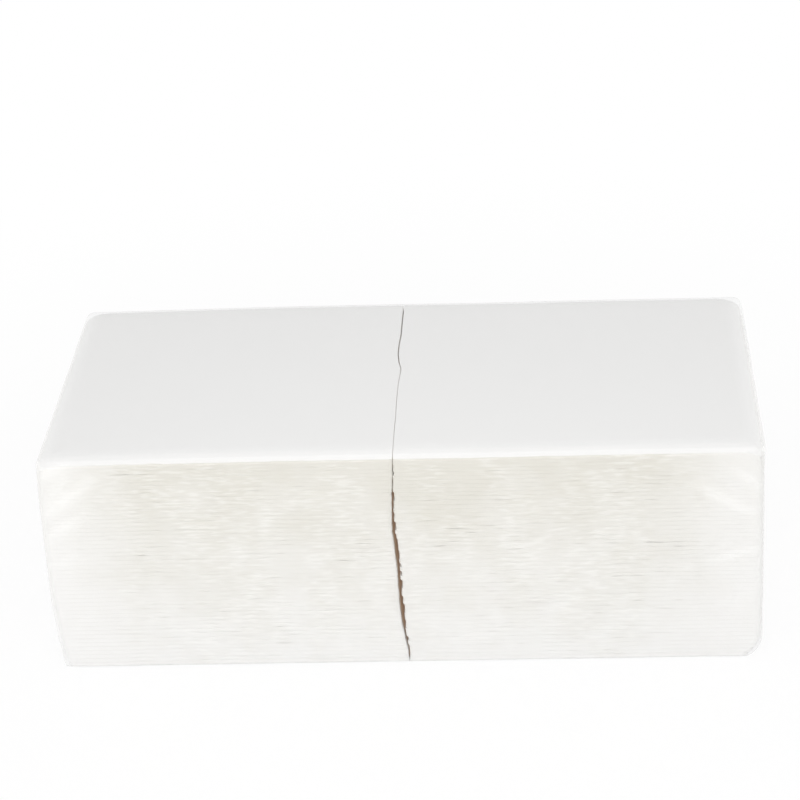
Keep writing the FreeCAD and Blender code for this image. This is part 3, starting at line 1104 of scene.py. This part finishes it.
@dataclass(frozen=True)
class FilmWrap:
    """The clear film: a closed thin skin with parcel folds at its ends and a weld at the back.

    The folds and the weld are steps in the skin, because a ray through more sheets goes dark.
    """

    form: PackForm
    finish: bpy.types.Material
    thickness: float = 0.1
    fold_step: float = 0.25
    step_run: float = 1.5
    columns: int = 94
    rows: int = 78
    ranks: int = 80
    crowding: Triple = (0.62, 0.3, 0.25)
    bend_angles: tuple[float, ...] = (45.0, 30.0, 15.0, 0.0)
    set_back: float = 0.05
    foot_run: Range = (20.0, 38.0)
    foot_sharpening: float = 1.9
    facing_range: Range = (0.3, 0.9)
    left_run: Range = (90.0, 121.0)
    left_foot_tuck: float = 4.05
    left_foot_run: Range = (-14.0, 30.0)
    left_top_tuck: float = 0.5
    left_top_run: Range = (62.0, 80.0)
    right_run: Range = (96.0, 121.0)
    crown_start: float = 30.0
    end_run: Range = (96.0, 120.0)
    end_inset: float = 0.25
    end_crease_share: float = 0.6
    # The milk values below also set how strong the film's painted glints are.
    end_milk: float = 0.05
    double_milk: float = 0.12
    rim_milk: float = 0.45
    milk_limit: float = 0.9
    seed: int = 83
    loose_front: Waves = Waves(0, (11.0, 9.0), 0.28)
    loose_slant: float = 11.0 / 17.0
    tight_front: Waves = Waves(0, (34.0, 30.0), 0.10, layered=False)
    tight_shift: float = 270.0
    top_slack: Waves = Waves(0, (26.0, 21.0), 0.10, 5.0)
    back_pucker: Waves = Waves(1, (19.0, 15.0), 0.12)
    end_pucker: Waves = Waves(1, (12.0, 12.0), 0.22, 3.0)

    def stations(self, half: float, count: int, crowd: float) -> Array:
        """Grid lines from one edge to the other, with the rounded edges well divided.

        Args:
            half: Half the length of the side.
            count: How many lines lie between the two bends.
            crowd: From 0, even, to 1, crowded near the ends.

        Returns:
            Coordinates from -half to half.
        """
        radius = self.form.edge_radius
        bend = [radius * (1.0 - math.tan(math.radians(a))) for a in self.bend_angles]
        inner = half - radius
        even = np.linspace(-1.0, 1.0, count)
        eased = np.sin(even * math.pi / 2)
        middle = (even * (1.0 - crowd) + eased * crowd) * inner
        low = [-half + b for b in bend[:-1]]
        return np.concatenate([low, middle, [-v for v in low[::-1]]])

    def lattice(self) -> tuple[Array, Array]:
        """The grid on the six faces of the plain box.

        Returns:
            Points on the box, and faces of four that look outward.
        """
        form = self.form
        half_depth = (form.half_depth - form.film_front) / 2 - self.set_back
        axes = (
            self.stations(form.half_length - 2 * self.thickness, self.columns, self.crowding[0]),
            self.stations(half_depth, self.ranks, self.crowding[1]),
            self.stations(form.height / 2, self.rows, self.crowding[2]),
        )
        sides = {
            (axis, end): tuple(end if k == axis else slice(None) for k in range(3))
            for axis in range(3)
            for end in (0, -1)
        }
        counts = [len(a) for a in axes]
        index = -np.ones(counts, dtype=int)
        shell = np.zeros(counts, dtype=bool)
        for side in sides.values():
            shell[side] = True
        index[shell] = np.arange(int(shell.sum()))
        where = np.argwhere(shell)
        points = np.stack([axes[k][where[:, k]] for k in range(3)], axis=1)
        faces = []
        for (axis, end), side in sides.items():
            sheet = index[side]
            a, b, c, d = sheet[:-1, :-1], sheet[1:, :-1], sheet[1:, 1:], sheet[:-1, 1:]
            quads = np.stack([a, b, c, d], axis=-1).reshape(-1, 4)
            outward = (end == -1) != (axis == 1)
            faces.append(quads if outward else quads[:, ::-1])
        return points, np.vstack(faces)

    def round_off(self, points: Array) -> tuple[Array, Array]:
        """Rounds the edges of the plain box, less at its foot.

        Args:
            points: Points on the plain box, counted from its middle.

        Returns:
            The rounded points and their outward directions.
        """
        form = self.form
        halves = np.abs(points).max(axis=0)
        low = smooth_step(-points[:, 2], *self.foot_run)
        radius = form.edge_radius - self.foot_sharpening * low
        limit = halves[None] - radius[:, None]
        core = np.clip(points, -limit, limit)
        out = points - core
        out = out / np.linalg.norm(out, axis=1)[:, None]
        return core + out * radius[:, None], out

    def folds(self, along: Array, height: Array) -> tuple[Array, Array]:
        """Where the film lies double.

        Args:
            along: Y of some points.
            height: Z of the same points.

        Returns:
            How much each point belongs to an end's two trapezoid flaps, and to the weld's band.
        """
        above = np.abs(height - self.form.height / 2)
        flap = smooth_step(self.form.flap_shift + above - np.abs(along), -self.step_run, self.step_run)
        band = smooth_step(self.form.lap / 2 - above, -self.step_run, self.step_run)
        return flap, band

    def pull(self, points: Array, out: Array) -> tuple[Array, Array]:
        """Draws the film tight over the piles, with its pulls and puckers.

        Args:
            points: Points of the rounded box, in the pack's own frame.
            out: Their outward directions.

        Returns:
            The points of the film, and how milky it is there, which also sets its painted glints.
        """
        form = self.form
        x, y, z = points[:, 0], points[:, 1], points[:, 2]
        pulled = points.copy()
        facing_front, facing_back, facing_up, facing_end = (
            smooth_step(share, *self.facing_range)
            for share in (-out[:, 1], out[:, 1], out[:, 2], np.abs(out[:, 0]))
        )
        near_left = smooth_step(-x, *self.left_run)
        low = 1.0 - smooth_step(z, *self.left_foot_run)
        pulled[:, 0] += self.left_foot_tuck * near_left * low
        pulled[:, 0] -= form.foot_tuck(z) * smooth_step(x, *self.right_run)
        pulled[:, 0] += self.left_top_tuck * near_left * smooth_step(z, *self.left_top_run)
        pulled[:, 2] += form.crowning(x, y) * smooth_step(z, self.crown_start, form.height)
        front, milk = creased(FRONT_CREASES, x, z)
        ends = smooth_step(np.abs(x), *self.end_run)
        loose = self.loose_front.rise(self.seed, x + z * self.loose_slant, z) * ends
        tight = self.tight_front.rise(self.seed, x, z + self.tight_shift)
        pulled[:, 1] -= facing_front * (front + loose + tight)
        milk = (milk + self.end_milk * ends) * facing_front
        flap, band = self.folds(y, z)
        back = self.back_pucker.rise(self.seed, x, z) + band * self.fold_step
        pulled[:, 1] += facing_back * back
        end, end_milk = creased(END_CREASES, y, z)
        pucker = self.end_pucker.rise(self.seed, y, z, row=np.sign(x))
        folded = flap * (1.0 + band) * self.fold_step
        outward = end * self.end_crease_share + pucker + folded - self.end_inset
        pulled[:, 0] += np.sign(x) * facing_end * outward
        pulled[:, 2] += facing_up * self.top_slack.rise(self.seed, x, y, row=1.0)
        # The film is milkier where it lies double and along the edges of its flaps and weld; the same
        # value sets its painted glints there.
        rims = midway(flap) + flap * midway(band)
        double = self.double_milk * flap * (1.0 + band) + self.rim_milk * rims
        weld = self.double_milk * band + self.rim_milk * midway(band)
        milk = milk + (end_milk + self.end_milk + double) * facing_end + weld * facing_back
        return pulled, np.clip(milk, 0.0, self.milk_limit)

    @staticmethod
    def directions(points: Array, faces: Array) -> Array:
        """The outward direction at each point of a closed mesh of four-sided faces."""
        a, b, c, d = (points[faces[:, k]] for k in range(4))
        normal = np.cross(c - a, d - b)
        total = np.zeros(points.shape)
        for k in range(4):
            np.add.at(total, faces[:, k], normal)
        return total / np.maximum(np.linalg.norm(total, axis=1), 1e-12)[:, None]

    def build(self) -> bpy.types.Object:
        """Builds the film as one piece."""
        form = self.form
        points, faces = self.lattice()
        rounded, out = self.round_off(points)
        along = (form.half_depth + form.film_front) / 2 - self.set_back
        middle = np.array([0.0, along, form.height / 2])
        film, milk = self.pull(rounded + middle, out)
        normals = self.directions(film, faces)
        mesher = Mesher("film_wrap_skin")
        start = mesher.add_points(film, milk)
        mesher.add_faces(faces, start)
        inside = mesher.add_points(film - normals * self.thickness, milk)
        mesher.add_faces(faces[:, ::-1], inside)
        return mesher.make(self.finish, ["film_wrap"])


def towards(azimuth: float, elevation: float) -> Vector:
    """The direction from the pack to a place at these angles, in degrees, 0 being the front."""
    turn, rise = math.radians(azimuth), math.radians(elevation)
    flat = math.cos(rise)
    return Vector((math.sin(turn) * flat, -math.cos(turn) * flat, math.sin(rise)))


@dataclass(frozen=True)
class SoftBox:
    """A large flat lamp that points at the pack; its distance and size are in metres."""

    name: str
    azimuth: float
    elevation: float
    distance: float
    size: tuple[float, float]
    power: float
    colour: Colour = (1.0, 1.0, 1.0)
    aim_height: float = 0.04

    def build(self) -> None:
        """Adds the lamp."""
        lamp = bpy.data.lights.new(self.name, "AREA")
        lamp.shape = "RECTANGLE"
        lamp.size, lamp.size_y = self.size
        lamp.energy = self.power
        lamp.color = self.colour
        holder = bpy.data.objects.new(self.name, lamp)
        back = towards(self.azimuth, self.elevation)
        holder.location = back * self.distance + Vector((0.0, 0.0, self.aim_height))
        holder.rotation_mode = "QUATERNION"
        holder.rotation_quaternion = (-back).to_track_quat("-Z", "Y")
        bpy.context.scene.collection.objects.link(holder)


@dataclass(frozen=True)
class Studio:
    """A white table, soft lamps and a camera at the photo's angle."""

    azimuth: float = 3.794
    elevation: float = 26.531
    roll: float = -2.952
    distance: float = 959.4
    target: Triple = (-1.836, 0.0, 71.949)
    focal_length: float = 120.85
    sensor_width: float = 36.0
    clipping: Range = (0.01, 100.0)
    table_size: float = 24.0
    table_white: float = 0.94
    near_glow: float = 0.9
    shade_reach: Range = (140.0, 420.0)
    sky_strength: float = 0.74
    lamps: tuple[SoftBox, ...] = (
        SoftBox("front_softbox", -14.0, 5.0, 0.6, (0.62, 0.15), 0.36, (1.0, 0.98, 0.95)),
        SoftBox("left_strip", -37.0, 9.0, 1.0, (0.38, 0.3), 0.33, (1.0, 0.985, 0.96)),
        SoftBox("right_strip", 41.0, 10.0, 1.0, (0.36, 0.28), 0.32, (1.0, 0.985, 0.96)),
        SoftBox("left_side", -96.0, 6.0, 0.8, (0.76, 0.54), 1.3),
        SoftBox("right_side", 96.0, 6.0, 0.8, (0.76, 0.54), 1.3),
        SoftBox("top_softbox", 4.0, 48.0, 0.5, (0.45, 0.45), 0.64),
    )

    def add_table(self) -> None:
        """Adds the white table, which the camera sees as white wherever nothing shades it."""
        half = self.table_size / 2
        mesh = bpy.data.meshes.new("table")
        corners = [(-half, -half, 0.0), (half, -half, 0.0), (half, half, 0.0), (-half, half, 0.0)]
        mesh.from_pydata(corners, [], [(0, 1, 2, 3)])
        table = bpy.data.objects.new("table", mesh)
        bpy.context.scene.collection.objects.link(table)
        material = new_material("white_table")
        shader = Shader(material)
        white = solid((self.table_white,) * 3)
        matt = shader.node("ShaderNodeBsdfDiffuse", inputs={"Color": white})
        glow = shader.node("ShaderNodeEmission", inputs={"Strength": 1.0})
        flat = shader.stretched(shader.place(), (1.0, 1.0, 0.0))
        away = shader.node("ShaderNodeVectorMath", {"operation": "LENGTH"}, {0: flat}, output="Value")
        far = away.within(self.shade_reach)
        glow_share = self.near_glow + (1 - self.near_glow) * far
        seen = shader.node("ShaderNodeLightPath", output="Is Camera Ray") * glow_share
        shader.finish(shader.mixed(seen, matt, glow))
        mesh.materials.append(material)

    def add_sky(self) -> None:
        """Adds even light all round, and plain white where the camera looks past the table."""
        world = bpy.data.worlds.new("studio")
        bpy.context.scene.world = world
        shader = Shader(world)
        even_inputs = {"Color": WHITE, "Strength": self.sky_strength}
        even = shader.node("ShaderNodeBackground", inputs=even_inputs)
        plain = shader.node("ShaderNodeBackground", inputs={"Color": WHITE, "Strength": 1.0})
        seen = shader.node("ShaderNodeLightPath", output="Is Camera Ray")
        mirrored = shader.node("ShaderNodeLightPath", output="Is Glossy Ray")
        shader.finish(shader.mixed(seen.larger(mirrored), even, plain), "ShaderNodeOutputWorld")

    def add_camera(self) -> None:
        """Adds the camera where the photo was taken from."""
        back = towards(self.azimuth, self.elevation)
        turn = math.radians(self.azimuth)
        right = Vector((math.cos(turn), math.sin(turn), 0.0))
        up = back.cross(right)
        lean = math.radians(self.roll)
        level = right * math.cos(lean) + up * math.sin(lean)
        upright = up * math.cos(lean) - right * math.sin(lean)
        data = bpy.data.cameras.new("camera")
        data.lens = self.focal_length
        data.sensor_width = self.sensor_width
        data.clip_start, data.clip_end = self.clipping
        camera = bpy.data.objects.new("camera", data)
        place = Vector(self.target) * MM + back * self.distance * MM
        turned = Matrix((level, upright, back)).transposed().to_4x4()
        camera.matrix_world = Matrix.Translation(place) @ turned
        bpy.context.scene.collection.objects.link(camera)
        bpy.context.scene.camera = camera

    def build(self) -> None:
        """Builds the whole studio."""
        bpy.context.scene.view_settings.view_transform = "Standard"
        self.add_table()
        self.add_sky()
        self.add_camera()
        for lamp in self.lamps:
            lamp.build()


def main() -> None:
    """Builds the pack and its studio."""
    logging.basicConfig(level=logging.INFO, format="%(name)s: %(message)s")
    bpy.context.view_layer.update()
    form = PackForm.from_cad()
    paper = NapkinPaper().material()
    for hand in Hand:
        NapkinPile(form, hand, paper).build()
    FilmWrap(form, ClearFilm().material()).build()
    Studio().build()


if __name__ == "__main__":
    main()
